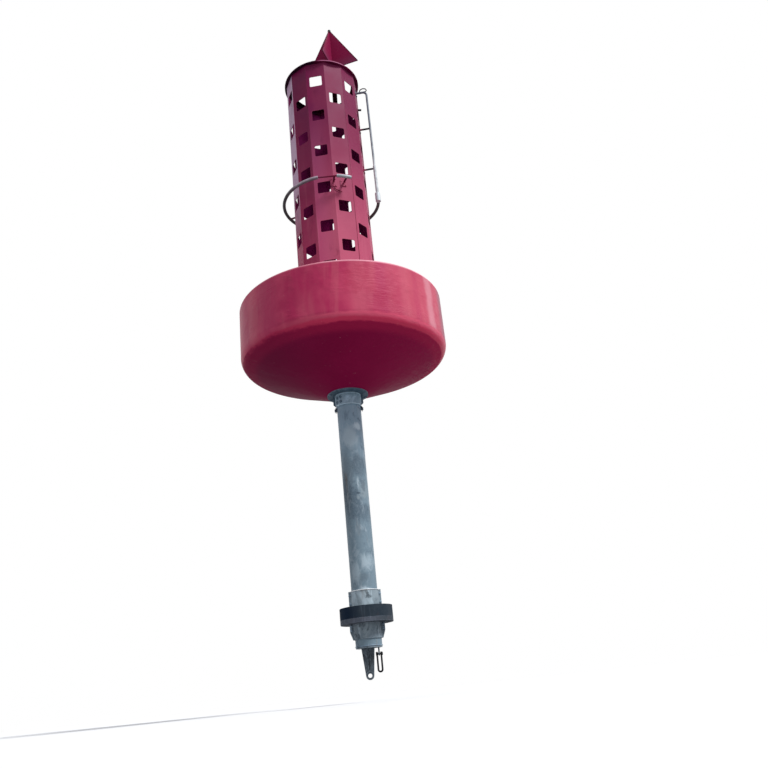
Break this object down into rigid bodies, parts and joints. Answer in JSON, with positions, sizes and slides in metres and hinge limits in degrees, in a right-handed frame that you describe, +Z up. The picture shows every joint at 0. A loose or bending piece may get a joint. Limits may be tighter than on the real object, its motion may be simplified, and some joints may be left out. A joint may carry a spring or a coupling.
{
  "type": "navigation buoy with perforated tower and tail tube",
  "caption": "Moored floating mark: foam disc float, perforated tower with a cone topmark above, ballasted tail tube and mooring eye below.",
  "frame": {"origin": "on the buoy's axis at its waterline", "axes": "+Z up the tower, -Y towards the side with the hoop's gap, +X towards the grab rail"},
  "size_m": [2.2, 2.2, 7.928],
  "materials": {
    "float_skin": "satin red elastomer skin",
    "tower_paint": "semi-gloss red paint",
    "topmark_paint": "semi-gloss red paint",
    "dark_red_paint": "dark red paint",
    "galvanised": "galvanised, dull",
    "weathered_zinc": "galvanised, stained and streaked with rust",
    "dark_iron": "dark, rough, weed-stained",
    "worn_iron": "worn, rough",
    "black_steel": "black, rough"
  },
  "bodies": {
    "buoy": {"float": "float_skin", "deck_plate": "galvanised", "core_tube": "galvanised", "bottom_flange": "galvanised", "flange_gussets": "galvanised", "collar_strap": "galvanised", "tail_tube": "weathered_zinc", "tail_pin": "weathered_zinc", "upper_clamp_front": "weathered_zinc", "upper_clamp_back": "weathered_zinc", "ballast_upper": "dark_iron", "ballast_lower": "worn_iron", "lower_clamp_front": "weathered_zinc", "lower_clamp_back": "weathered_zinc", "end_plate": "weathered_zinc", "mooring_yoke": "weathered_zinc", "shackle_lug": "weathered_zinc", "lifting_lug_front": "galvanised", "lifting_lug_right": "galvanised", "lifting_lug_back": "galvanised", "lifting_lug_left": "galvanised", "tower_foot": "tower_paint", "tower_panel_front": "tower_paint", "tower_panel_right": "tower_paint", "tower_panel_back": "tower_paint", "tower_panel_left": "tower_paint", "tower_rim": "dark_red_paint", "topmark_bridge": "dark_red_paint", "topmark_post": "dark_red_paint", "topmark_plate_wide": "topmark_paint", "topmark_plate_cross": "topmark_paint", "hoop_tube": "galvanised", "hoop_stub": "galvanised", "hoop_bar": "dark_red_paint", "hoop_brackets": "dark_red_paint", "rail_tube": "galvanised", "rail_brackets": "dark_red_paint", "rail_foot": "galvanised"},
    "shackle": {"shackle_bow": "black_steel", "shackle_pin": "black_steel"}
  },
  "joints": [
    {"name": "shackle_swing", "type": "hinge", "parent": "buoy", "child": "shackle", "pos_m": [0.088, 0, -3.11704], "axis": [1, 0, 0], "range_deg": [-85, 85]}
  ]
}
